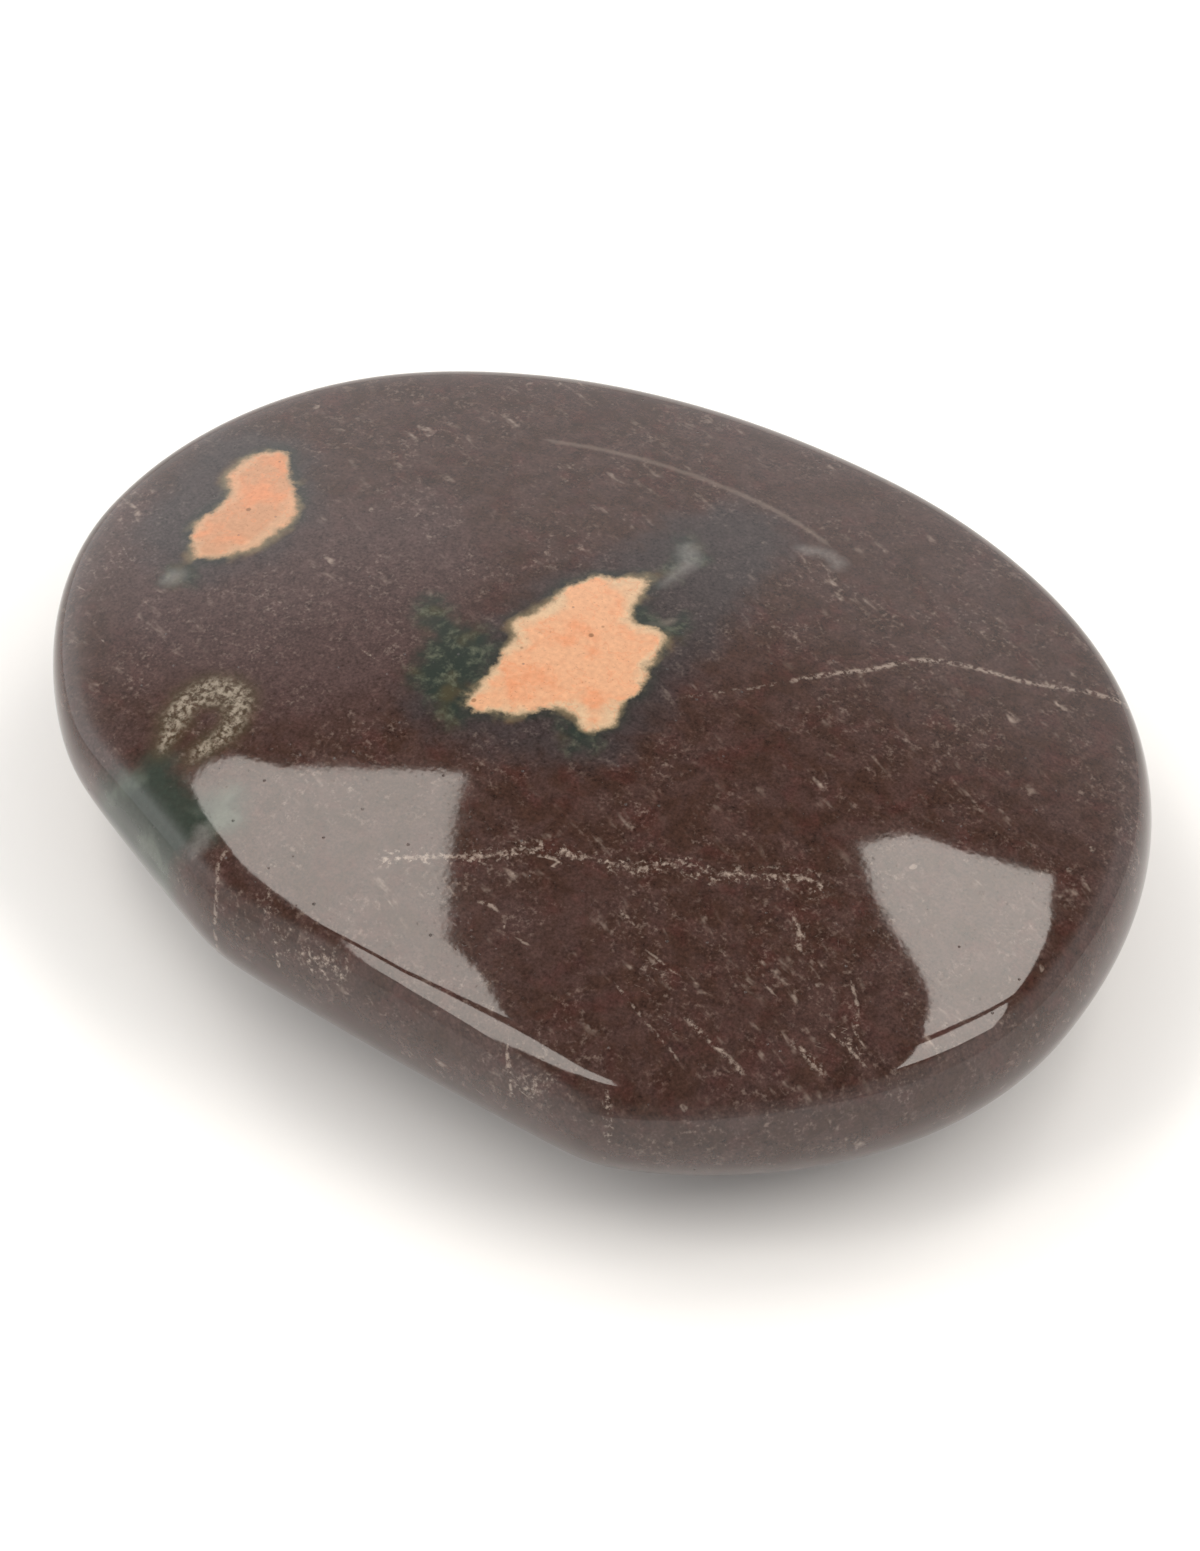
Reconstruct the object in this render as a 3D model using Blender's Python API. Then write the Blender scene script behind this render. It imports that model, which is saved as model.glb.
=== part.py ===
"""A polished palm stone: one flat oval pebble, ground and polished by hand.

Units are metres. X runs along the stone, Y across it, Z is up.
The stone is shaped around the axis of its crown, and then centred on the origin,
which lies on the table under the middle of the stone's box.
"""

import math

import bmesh
import bpy
from mathutils import Vector

# Outline seen from above: how far the oval reaches from the crown's axis
RIGHT_REACH = 0.03105
LEFT_REACH = 0.0369
FAR_REACH = 0.0279
NEAR_REACH = 0.02593

# Squareness of the oval's two halves: 2 is a true ellipse, more is boxier
FAR_SQUARENESS = 2.16
NEAR_SQUARENESS = 1.96

# Two flats worn across the near edge: bearing in degrees, distance
EDGE_FLATS = ((268.6, 0.02313), (247.7, 0.02625))

# Crown: a shallow dome
CROWN_HEIGHT = 0.0168
CROWN_RIDGE = -0.0010
CROWN_RADIUS_RIGHT = 0.151
CROWN_RADIUS_LEFT = 0.145
CROWN_RADIUS_NEAR = 0.083
CROWN_RADIUS_FAR = 0.080

# The crown rolls off more quickly near two of its edges: extra drop, distance where it is reached
NEAR_ROLL = (0.00036, 0.023)
RIGHT_ROLL = (0.00022, 0.031)

# Rounded edge: widest at this height, with a fuller curve towards the left end
EDGE_HEIGHT = 0.0098
EDGE_RADIUS = 0.00587
EDGE_RADIUS_LEFT = 0.00934
LEFT_BEARING = 196.4

# Underside: a shallow bowl that dips below the table and is rubbed flat there
BASE_DIP = 0.0010
BASE_RADIUS_LONG = 0.110
BASE_RADIUS_CROSS = 0.060
BASE_RIDGE = 0.0020

# Softness of the lines where one ground face runs into the next
FLAT_SOFTNESS = 0.0003
BASE_SOFTNESS = 0.0015

# Softness of the crown's border all round the stone: bearing in degrees, softness
CROWN_BORDER = (
    (20.0, 0.00042),
    (240.0, 0.00060),
    (270.0, 0.00037),
    (300.0, 0.00053),
    (325.0, 0.00021),
    (345.0, 0.00043),
    (380.0, 0.00042),
)

# The mesh starts as a cube with this many cuts, stretched to the stone's proportions
CUTS = 27
PROPORTIONS = Vector((1.0, 0.76, 0.26))
MIDDLE = Vector((0.0, 0.0, 0.0080))
LONGEST_REACH = 0.060
HALVINGS = 36

STONE_COLOUR = (0.068, 0.036, 0.028, 1.0)
STONE_ROUGHNESS = 0.12


def clear_scene():
    """Remove every object that the file opens with."""
    for item in list(bpy.data.objects):
        bpy.data.objects.remove(item, do_unlink=True)


def stone_material():
    """Plum-brown stone under a polish."""
    material = bpy.data.materials.new("polished_plum_stone")
    material.use_nodes = True
    shader = material.node_tree.nodes["Principled BSDF"]
    shader.inputs["Base Color"].default_value = STONE_COLOUR
    shader.inputs["Roughness"].default_value = STONE_ROUGHNESS
    shader.inputs["Metallic"].default_value = 0.0
    material.diffuse_color = STONE_COLOUR
    return material


def blend(first, second, softness):
    """Return the greater of two values, rounded over where they cross."""
    gap = abs(first - second) / softness
    return max(first, second) + softness * math.log1p(math.exp(-gap))


def outline(x, y):
    """Return how far a point lies outside the oval outline, seen from above."""
    bearing = math.atan2(y, x)
    reach_x = RIGHT_REACH if x > 0.0 else LEFT_REACH
    reach_y = FAR_REACH if y > 0.0 else NEAR_REACH
    power = FAR_SQUARENESS if y > 0.0 else NEAR_SQUARENESS
    along = abs(math.cos(bearing) / reach_x) ** power
    across = abs(math.sin(bearing) / reach_y) ** power
    return math.hypot(x, y) - (along + across) ** (-1.0 / power)


def leftness(x, y):
    """Return 1 towards the left bearing and 0 on the opposite side."""
    return 0.5 + 0.5 * math.cos(math.atan2(y, x) - math.radians(LEFT_BEARING))


def edge(x, y, z):
    """Return how far a point lies outside the rounded edge and its worn flats."""
    radius = EDGE_RADIUS + (EDGE_RADIUS_LEFT - EDGE_RADIUS) * leftness(x, y)
    outside = outline(x, y)
    for bearing, distance in EDGE_FLATS:
        angle = math.radians(bearing)
        flat = x * math.cos(angle) + y * math.sin(angle) - distance
        outside = blend(outside, flat, FLAT_SOFTNESS)
    return outside + (z - EDGE_HEIGHT) ** 2 / (2.0 * radius)


def roll(distance, size):
    """Return the extra drop of the crown at a distance towards one of its rolled edges."""
    drop, reached = size
    return drop * (max(distance, 0.0) / reached) ** 4


def crown(x, y, z):
    """Return how far a point lies above the domed top."""
    from_ridge = y - CROWN_RIDGE
    radius_long = CROWN_RADIUS_RIGHT if x > 0.0 else CROWN_RADIUS_LEFT
    radius_cross = CROWN_RADIUS_FAR if from_ridge > 0.0 else CROWN_RADIUS_NEAR
    along = x * x / (2.0 * radius_long) + roll(x, RIGHT_ROLL)
    across = from_ridge * from_ridge / (2.0 * radius_cross) + roll(-from_ridge, NEAR_ROLL)
    return z - CROWN_HEIGHT + along + across


def border_softness(x, y):
    """Return the softness of the crown's border towards a point."""
    bearing = math.degrees(math.atan2(y, x)) % 360.0
    if bearing < CROWN_BORDER[0][0]:
        bearing += 360.0
    for (start, first), (end, last) in zip(CROWN_BORDER, CROWN_BORDER[1:]):
        if bearing <= end:
            return first + (last - first) * (bearing - start) / (end - start)
    return CROWN_BORDER[-1][1]


def base(x, y, z):
    """Return how far a point lies below the bowl-shaped underside."""
    from_ridge = y - BASE_RIDGE
    along = x * x / (2.0 * BASE_RADIUS_LONG)
    across = from_ridge * from_ridge / (2.0 * BASE_RADIUS_CROSS)
    return along + across - BASE_DIP - z


def outside_stone(point):
    """Return a positive value outside the stone and a negative one inside."""
    x, y, z = point
    upper = blend(edge(x, y, z), crown(x, y, z), border_softness(x, y))
    return blend(upper, base(x, y, z), BASE_SOFTNESS)


def surface_point(direction):
    """Return where a ray from the middle of the stone leaves it."""
    near = 0.0
    far = LONGEST_REACH
    for _ in range(HALVINGS):
        middle = (near + far) / 2.0
        if outside_stone(MIDDLE + direction * middle) > 0.0:
            far = middle
        else:
            near = middle
    point = MIDDLE + direction * near
    point.z = max(point.z, 0.0)
    return point


def cube_direction(corner):
    """Turn a point on the unit cube into an evenly spread, stretched direction."""
    spread = Vector(math.tan(value * math.pi / 4.0) for value in corner)
    stretched = Vector(a * b for a, b in zip(spread.normalized(), PROPORTIONS))
    return stretched.normalized()


def centre_on_origin(mesh):
    """Slide the stone along the table until its box is centred on the origin."""
    places = [vertex.co for vertex in mesh.verts]
    middle_x = (min(place.x for place in places) + max(place.x for place in places)) / 2.0
    middle_y = (min(place.y for place in places) + max(place.y for place in places)) / 2.0
    bmesh.ops.translate(mesh, verts=mesh.verts[:], vec=(-middle_x, -middle_y, 0.0))


def join_resting_flat(mesh):
    """Make one face of all those that lie on the table."""
    lying = [face for face in mesh.faces if all(vertex.co.z < 1e-7 for vertex in face.verts)]
    bmesh.ops.dissolve_faces(mesh, faces=lying, use_verts=True)


def palm_stone():
    """Build the stone as one closed mesh."""
    mesh = bmesh.new()
    bmesh.ops.create_cube(mesh, size=2.0)
    bmesh.ops.subdivide_edges(mesh, edges=mesh.edges[:], cuts=CUTS, use_grid_fill=True)
    for vertex in mesh.verts:
        vertex.co = surface_point(cube_direction(vertex.co))
    centre_on_origin(mesh)
    join_resting_flat(mesh)
    bmesh.ops.recalc_face_normals(mesh, faces=mesh.faces[:])
    shape = bpy.data.meshes.new("palm_stone")
    mesh.to_mesh(shape)
    mesh.free()
    shape.shade_smooth()
    shape.materials.append(stone_material())
    stone = bpy.data.objects.new("palm_stone", shape)
    bpy.context.scene.collection.objects.link(stone)
    return stone


def main():
    """Clear the scene and build the stone."""
    clear_scene()
    palm_stone()


main()
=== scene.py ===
"""Looks of a polished palm stone: plum-brown rock with salmon spots, green patches and pale veins.

Lengths are metres, except in the markings and the material, which count in millimetres.
"""

import logging
import math
from dataclasses import dataclass, replace
from enum import Enum

import bmesh
import bpy
import numpy as np
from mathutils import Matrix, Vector


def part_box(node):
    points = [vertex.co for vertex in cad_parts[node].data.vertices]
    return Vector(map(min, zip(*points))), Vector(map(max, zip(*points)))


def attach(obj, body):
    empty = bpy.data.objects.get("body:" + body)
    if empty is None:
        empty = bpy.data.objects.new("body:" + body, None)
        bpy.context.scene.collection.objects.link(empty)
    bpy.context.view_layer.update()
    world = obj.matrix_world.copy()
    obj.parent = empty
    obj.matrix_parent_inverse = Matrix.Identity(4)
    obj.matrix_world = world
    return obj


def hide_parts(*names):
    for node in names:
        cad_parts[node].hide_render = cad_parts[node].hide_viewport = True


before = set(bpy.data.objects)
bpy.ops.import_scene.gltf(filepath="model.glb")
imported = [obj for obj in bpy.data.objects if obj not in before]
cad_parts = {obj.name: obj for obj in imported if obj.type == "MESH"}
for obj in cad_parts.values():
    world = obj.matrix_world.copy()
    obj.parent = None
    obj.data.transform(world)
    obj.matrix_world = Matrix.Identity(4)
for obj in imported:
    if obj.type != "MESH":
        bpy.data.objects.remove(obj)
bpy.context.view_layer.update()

STONE_NODE = "palm_stone"
MILLIMETRE = 0.001
LINE_STEPS = 5

logging.basicConfig(level=logging.INFO, format="%(message)s")
log = logging.getLogger("palm stone")

Point2 = tuple[float, float]
Colour = tuple[float, float, float]


@dataclass(frozen=True)
class Form:
    """The faces that the stone was ground to, measured from the axis of its crown."""

    right_reach: float = 0.03105
    left_reach: float = 0.0369
    far_reach: float = 0.0279
    near_reach: float = 0.02593
    far_squareness: float = 2.16
    near_squareness: float = 1.96
    edge_flats: tuple[Point2, ...] = ((268.6, 0.02313), (247.7, 0.02625))
    crown_height: float = 0.0168
    crown_ridge: float = -0.0010
    crown_radius_right: float = 0.151
    crown_radius_left: float = 0.145
    crown_radius_near: float = 0.083
    crown_radius_far: float = 0.080
    near_roll: Point2 = (0.00036, 0.023)
    right_roll: Point2 = (0.00022, 0.031)
    edge_height: float = 0.0098
    edge_radius: float = 0.00587
    edge_radius_left: float = 0.00934
    left_bearing: float = 196.4
    base_dip: float = 0.0010
    base_radius_long: float = 0.110
    base_radius_cross: float = 0.060
    base_ridge: float = 0.0020
    flat_softness: float = 0.0003
    base_softness: float = 0.0015
    crown_border: tuple[Point2, ...] = (
        (20.0, 0.00042),
        (240.0, 0.00060),
        (270.0, 0.00037),
        (300.0, 0.00053),
        (325.0, 0.00021),
        (345.0, 0.00043),
        (380.0, 0.00042),
    )

    @staticmethod
    def blend(first: np.ndarray, second: np.ndarray, softness: np.ndarray | float) -> np.ndarray:
        """Return the greater of two distances, rounded over where they cross.

        Args:
            first: Distances from one face.
            second: Distances from the other face.
            softness: Width of the rounding.

        Returns:
            The blended distances.
        """
        gap = np.abs(first - second) / softness
        return np.maximum(first, second) + softness * np.log1p(np.exp(-gap))

    def outline(self, x: np.ndarray, y: np.ndarray) -> np.ndarray:
        """Return how far points lie outside the oval outline, seen from above.

        Args:
            x: Places along the stone.
            y: Places across the stone.

        Returns:
            Distances, negative inside the oval.
        """
        bearing = np.arctan2(y, x)
        reach_x = np.where(x > 0.0, self.right_reach, self.left_reach)
        reach_y = np.where(y > 0.0, self.far_reach, self.near_reach)
        power = np.where(y > 0.0, self.far_squareness, self.near_squareness)
        along = np.abs(np.cos(bearing) / reach_x) ** power
        across = np.abs(np.sin(bearing) / reach_y) ** power
        return np.hypot(x, y) - (along + across) ** (-1.0 / power)

    def leftness(self, x: np.ndarray, y: np.ndarray) -> np.ndarray:
        """Return 1 towards the left bearing and 0 on the opposite side."""
        return 0.5 + 0.5 * np.cos(np.arctan2(y, x) - math.radians(self.left_bearing))

    def border_softness(self, x: np.ndarray, y: np.ndarray) -> np.ndarray:
        """Return the softness of the crown's border towards each point.

        Args:
            x: Places along the stone.
            y: Places across the stone.

        Returns:
            Softnesses.
        """
        bearings, softnesses = zip(*self.crown_border)
        bearing = np.degrees(np.arctan2(y, x)) % 360.0
        bearing = np.where(bearing < bearings[0], bearing + 360.0, bearing)
        return np.interp(bearing, bearings, softnesses)

    @staticmethod
    def roll(distance: np.ndarray, size: Point2) -> np.ndarray:
        """Return the extra drop of the crown at distances towards one of its rolled edges."""
        drop, reached = size
        return drop * (np.maximum(distance, 0.0) / reached) ** 4

    def outside(self, places: np.ndarray) -> np.ndarray:
        """Return how far points lie outside the stone.

        Args:
            places: Points, one row each.

        Returns:
            Positive values outside and negative values inside.
        """
        x, y, z = places.T
        left = self.leftness(x, y)
        edge = self.outline(x, y)
        for bearing, distance in self.edge_flats:
            angle = math.radians(bearing)
            flat = x * math.cos(angle) + y * math.sin(angle) - distance
            edge = self.blend(edge, flat, self.flat_softness)
        radius = self.edge_radius + (self.edge_radius_left - self.edge_radius) * left
        edge = edge + (z - self.edge_height) ** 2 / (2.0 * radius)
        from_ridge = y - self.crown_ridge
        radius_long = np.where(x > 0.0, self.crown_radius_right, self.crown_radius_left)
        radius_cross = np.where(from_ridge > 0.0, self.crown_radius_far, self.crown_radius_near)
        crown = z - self.crown_height + x**2 / (2.0 * radius_long) + self.roll(x, self.right_roll)
        crown = crown + from_ridge**2 / (2.0 * radius_cross) + self.roll(-from_ridge, self.near_roll)
        base = x**2 / (2.0 * self.base_radius_long) - self.base_dip - z
        base = base + (y - self.base_ridge) ** 2 / (2.0 * self.base_radius_cross)
        upper = self.blend(edge, crown, self.border_softness(x, y))
        return self.blend(upper, base, self.base_softness)


@dataclass(frozen=True)
class HandPolish:
    """The slight waviness that hand polishing leaves on the ground faces."""

    waves: int = 14
    shortest: float = 0.009
    longest: float = 0.024
    steepness: float = 0.0026
    seed: int = 7

    def sink(self, places: np.ndarray) -> np.ndarray:
        """Return how deep the polish has worn each point.

        Args:
            places: Points, one row each.

        Returns:
            Depths below the ground faces.
        """
        chance = np.random.default_rng(self.seed)
        depth = np.zeros(len(places))
        for _ in range(self.waves):
            direction = chance.normal(size=3)
            direction /= np.linalg.norm(direction)
            length = chance.uniform(self.shortest, self.longest)
            height = self.steepness * length / math.tau
            phase = chance.uniform(0.0, math.tau)
            depth += height * (1.0 + np.sin(places @ direction * math.tau / length + phase))
        return depth


class Ground(Enum):
    """What a spot in the stone is made of, and the name of its depth on the mesh."""

    SALMON = "salmon_depth"
    MOSS = "moss_depth"
    SPECKLED = "speckled_depth"
    GHOST = "ghost_depth"
    SLATE = "slate_depth"
    MAUVE = "mauve_depth"
    # A darker salmon laid over the left salmon spot only
    DARKER_SALMON = "darker_salmon_depth"
    JADE = "jade_depth"


@dataclass(frozen=True)
class Spot:
    """A spot that reaches into the stone like a plug, seen from above as an outline."""

    ground: Ground
    outline: tuple[Point2, ...]
    lowest: float = 5.0
    highest: float = 20.0


@dataclass(frozen=True)
class Vein:
    """A pale sheet that cuts down through the stone, seen from above as a line."""

    path: tuple[Point2, ...]
    width: float
    strength: float
    scatter: float = 0.0
    cloudy: float = 0.0
    lowest: float = 3.0
    highest: float = 20.0


# Each spot: what it is made of and its outline
TOP_SPOTS = (
    Spot(
        Ground.SALMON,
        (
            (-28.3, 2.7), (-27.8, 4.6), (-26.7, 5.2), (-25.8, 4.6), (-24.9, 3.6), (-23.8, 2.5),
            (-22.9, 1.4), (-22.5, 0.1), (-22.7, -1.6), (-23.3, -3.1), (-24.4, -4.3), (-25.4, -4.9),
            (-26.3, -4.4), (-27.1, -3.3), (-27.3, -1.8), (-27.0, -0.6), (-27.2, 0.6), (-28.0, 1.6),
        ),
    ),
    Spot(
        Ground.SALMON,
        (
            (-1.4, 7.1), (-1.2, 5.4), (-0.8, 4.2), (0.0, 3.5), (1.2, 3.8), (2.0, 3.5), (2.3, 2.2),
            (2.4, 1.0), (2.9, 0.0), (3.1, -1.2), (2.8, -2.3), (3.2, -3.5), (2.9, -4.8), (1.9, -5.0),
            (0.9, -4.4), (0.0, -4.6), (-1.0, -5.4), (-1.9, -6.3), (-3.1, -6.8), (-4.1, -7.3),
            (-4.8, -7.0), (-4.8, -5.9), (-4.8, -4.6), (-5.1, -2.8), (-5.2, -1.4), (-6.0, -0.3),
            (-5.4, 0.9), (-5.0, 2.4), (-5.1, 3.8), (-4.1, 5.2), (-2.7, 6.2),
        ),
    ),
    Spot(
        Ground.MOSS,
        (
            (-11.7, -1.4), (-10.3, -1.2), (-8.7, -2.3), (-6.9, -2.0), (-5.9, -3.0), (-5.3, -4.8),
            (-5.0, -6.6), (-4.3, -8.7), (-5.7, -8.5), (-7.3, -7.7), (-8.7, -6.9), (-9.1, -5.2),
            (-9.7, -3.6), (-11.1, -2.8),
        ),
    ),
    Spot(
        Ground.MOSS,
        ((-2.1, 11.4), (-1.3, 9.8), (-1.2, 7.4), (-0.6, 7.6), (-0.6, 9.6), (0.1, 10.2), (-0.6, 11.0)),
    ),
    Spot(
        Ground.MOSS,
        ((-1.1, 4.6), (0.0, 3.2), (1.4, 3.5), (2.4, 3.2), (2.5, 4.8), (2.0, 5.6), (1.4, 4.6), (0.0, 4.6)),
    ),
    Spot(Ground.MOSS, ((0.9, -4.8), (2.1, -5.2), (3.3, -5.0), (3.1, -6.0), (2.1, -6.6), (1.3, -5.8))),
    Spot(Ground.MOSS, ((-26.5, -6.2), (-25.5, -5.9), (-24.7, -6.6), (-25.5, -7.4), (-26.5, -7.2))),
    Spot(Ground.GHOST, ((-26.7, -6.9), (-26.0, -6.1), (-25.2, -6.4), (-25.3, -7.3), (-26.2, -7.6))),
    Spot(
        Ground.JADE,
        (
            (-19.0, -18.5), (-17.7, -18.1), (-16.7, -19.1), (-14.5, -19.5), (-12.9, -18.2),
            (-11.9, -18.9), (-11.5, -20.7), (-12.9, -22.5), (-15.5, -25.2), (-17.4, -25.8),
            (-20.4, -24.3), (-21.3, -20.6), (-19.4, -19.9),
        ),
        lowest=5.5,
    ),
    Spot(Ground.GHOST, ((-13.7, -21.3), (-12.6, -21.1), (-12.2, -22.5), (-13.2, -22.8)), lowest=10.5),
    Spot(
        Ground.GHOST,
        (
            (3.5, 14.9), (4.2, 15.9), (5.4, 16.3), (6.6, 15.9), (6.8, 15.0), (6.2, 14.6), (5.4, 15.3),
            (4.6, 14.8),
        ),
    ),
    Spot(
        Ground.GHOST,
        (
            (-1.8, 10.6), (-1.3, 11.4), (-0.4, 11.0), (0.2, 9.8), (0.0, 8.4), (-0.3, 7.2), (-0.9, 6.6),
            (-1.0, 7.8), (-1.0, 9.2),
        ),
    ),
    Spot(
        Ground.SPECKLED,
        (
            (-18.5, -18.3), (-19.5, -16.7), (-20.0, -14.9), (-19.5, -13.1), (-18.2, -12.2),
            (-16.6, -12.2), (-15.7, -13.2), (-15.3, -15.0), (-15.8, -16.8), (-16.6, -18.1),
            (-16.8, -16.9), (-16.4, -15.4), (-16.6, -14.4), (-17.6, -14.0), (-18.4, -14.8),
            (-18.4, -16.5),
        ),
    ),
    # Darker salmon over the left salmon spot only
    Spot(Ground.DARKER_SALMON, ((-31.0, 6.0), (-26.0, 8.0), (-20.0, 2.0), (-22.0, -6.0), (-28.0, -6.0))),
    Spot(
        Ground.MAUVE,
        (
            (-32.0, -4.0), (-24.0, 2.0), (-14.0, 8.0), (-8.0, 0.0), (-7.0, -9.0), (-11.0, -13.0),
            (-18.0, -15.0), (-26.0, -13.0),
        ),
    ),
    Spot(
        Ground.SLATE,
        (
            (-31.4, 5.6), (-27.9, 7.0), (-25.0, 6.0), (-21.4, 1.9), (-20.8, -1.9), (-23.6, -6.4),
            (-27.5, -6.8), (-30.8, -3.7),
        ),
    ),
    Spot(
        Ground.SLATE,
        (
            (-6.5, 3.6), (-4.8, 7.4), (-3.6, 13.0), (-1.2, 16.6), (3.2, 16.0), (4.4, 9.4), (5.3, 1.0),
            (4.9, -6.6), (-3.1, -9.7), (-8.5, -8.7),
        ),
    ),
)

# Each vein: its path, its width and its strength
TOP_VEINS = (
    Vein(((5.3, -0.2), (6.3, 1.1), (8.3, 3.2), (9.7, 5.0)), 0.22, 0.42),
    Vein(
        (
            (9.7, 5.0), (11.1, 6.9), (12.9, 9.0), (14.1, 11.0), (15.5, 12.3), (17.5, 13.3), (20.3, 14.5),
            (22.9, 16.3), (24.9, 17.4), (27.2, 19.1),
        ),
        0.32, 0.66,
    ),
    Vein(
        (
            (-3.2, -18.8), (-1.0, -17.4), (1.2, -16.1), (2.6, -15.2), (4.4, -13.6), (6.4, -12.9),
            (8.5, -12.2), (10.3, -11.5), (11.9, -10.0), (13.9, -9.4), (15.9, -8.2), (18.5, -6.5),
            (20.1, -7.1),
        ),
        0.26, 0.62, scatter=0.9,
    ),
    Vein(
        (
            (-14.3, 14.4), (-12.5, 15.0), (-10.2, 15.8), (-7.2, 16.5), (-3.8, 17.0), (-0.2, 17.2),
            (2.8, 17.0), (5.4, 16.4),
        ),
        0.36, 0.26, cloudy=0.8,
    ),
    Vein(((-10.9, -21.3), (-11.1, -22.7), (-10.5, -23.7), (-9.8, -25.3), (-9.4, -27.3)), 0.2, 0.6),
    Vein(
        ((-7.6, -22.6), (-6.7, -24.1), (-5.7, -24.7), (-4.9, -26.0)),
        0.14, 0.5, scatter=0.4, lowest=11.0,
    ),
    Vein(
        ((-4.6, -24.5), (-3.2, -24.8), (-1.6, -24.7), (-0.3, -25.0)),
        0.5, 0.5, scatter=0.8, lowest=12.2, highest=13.0,
    ),
    Vein(
        ((9.8, -23.9), (10.4, -24.9), (11.0, -25.5), (11.4, -26.6)),
        0.16, 0.7, scatter=0.3, lowest=11.5,
    ),
    Vein(
        ((11.2, -25.3), (12.3, -25.3), (13.6, -24.8)),
        0.35, 0.55, scatter=0.7, lowest=12.0, highest=12.5,
    ),
    Vein(
        ((16.0, -23.2), (16.7, -24.3), (17.3, -25.0), (17.6, -26.0)),
        0.14, 0.55, scatter=0.4, lowest=11.0,
    ),
    Vein(((22.0, -8.8), (22.4, -9.4)), 0.2, 1.0),
    Vein(((18.9, -9.0), (20.0, -9.8), (20.5, -10.6), (21.2, -11.0)), 0.26, 0.7, scatter=0.5),
    Vein(((0.1, 3.7), (1.0, 4.0), (1.4, 4.7), (1.9, 5.5)), 0.5, 0.4, cloudy=0.6),
    Vein(((10.5, -14.3), (12.6, -14.9)), 0.22, 0.6),
    Vein(((13.7, -16.6), (15.3, -17.2)), 0.2, 0.5, scatter=0.4),
    Vein(((6.7, -15.4), (7.0, -15.6)), 0.34, 0.85),
    Vein(((5.1, -13.8), (5.3, -14.0)), 0.34, 0.85),
    Vein(((23.9, -10.5), (24.8, -11.4), (25.8, -12.4)), 0.16, 0.64),
    Vein(((23.2, -15.8), (24.3, -16.0), (25.6, -16.3), (26.5, -16.4)), 0.36, 0.64, scatter=0.5),
    Vein(((17.3, -17.9), (19.4, -18.4), (21.2, -18.7), (22.8, -19.2)), 0.24, 0.62, scatter=0.3),
    Vein(((13.0, -18.3), (15.1, -19.1), (17.2, -19.8), (19.3, -20.5)), 0.15, 0.5),
    Vein(((20.0, -13.7), (21.5, -14.1)), 0.18, 0.62),
    Vein(((25.4, -12.8), (26.4, -13.5), (27.3, -13.8)), 0.16, 0.66),
    Vein(((13.3, -15.7), (14.9, -15.9), (16.4, -16.1)), 0.13, 0.55),
    Vein(((17.9, -14.1), (18.8, -14.7)), 0.14, 0.62),
    Vein(((6.6, -18.9), (8.2, -18.9)), 0.14, 0.62),
    Vein(((12.1, -10.4), (13.7, -10.7)), 0.12, 0.56),
    Vein(((3.3, -18.2), (4.5, -17.9), (5.4, -18.2)), 0.22, 0.7),
    Vein(((24.2, -14.1), (26.0, -14.3), (28.0, -14.7)), 0.14, 0.64, scatter=0.3),
    Vein(((9.8, 17.7), (10.2, 17.0)), 0.14, 0.9),
    Vein(((25.9, 14.5), (26.4, 14.0)), 0.16, 0.8),
    Vein(((-31.2, -9.6), (-30.0, -9.9)), 0.15, 0.7),
    Vein(((-30.8, -5.7), (-29.3, -6.7)), 0.12, 0.5),
    Vein(((-27.6, -12.4), (-26.1, -13.0)), 0.12, 0.6),
    Vein(((-12.7, -6.7), (-10.7, -7.0)), 0.12, 0.6),
    Vein(((-21.2, -6.0), (-19.8, -6.2)), 0.13, 0.6),
)

# The underside's markings reach up from below the stone and stop short of the edge
UNDER_LOWEST = -5.0
UNDER_SPOTS_HIGHEST = 5.0
UNDER_VEINS_HIGHEST = 4.5

UNDER_SPOTS = (
    Spot(
        Ground.SALMON,
        (
            (12.4, 6.4), (13.6, 8.2), (15.8, 8.8), (18.0, 7.6), (18.8, 5.4), (17.8, 3.2), (18.2, 1.2),
            (16.4, 0.2), (14.4, 1.4), (13.2, 3.6),
        ),
    ),
    Spot(
        Ground.MOSS,
        ((9.6, 2.0), (11.6, 3.4), (12.6, 5.6), (13.2, 2.6), (14.8, 0.6), (13.0, -1.4), (10.6, -0.8)),
    ),
    Spot(Ground.SALMON, ((-13.2, -9.4), (-11.8, -8.6), (-10.6, -9.6), (-11.0, -11.2), (-12.6, -11.0))),
    Spot(
        Ground.SLATE,
        ((7.6, 3.4), (12.0, 11.0), (19.0, 10.6), (21.6, 4.0), (18.4, -2.6), (11.0, -3.6)),
    ),
)

UNDER_VEINS = (
    Vein(
        (
            (-34.0, 4.0), (-27.0, 2.0), (-20.0, 3.2), (-13.0, 0.6), (-6.0, 1.6), (1.0, -2.4), (8.0, -5.6),
            (15.0, -9.0),
        ),
        0.16, 0.6, scatter=0.5,
    ),
    Vein(((-9.0, 22.0), (-4.0, 15.0), (-3.0, 9.0), (1.0, 5.0)), 0.13, 0.5),
)


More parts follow.
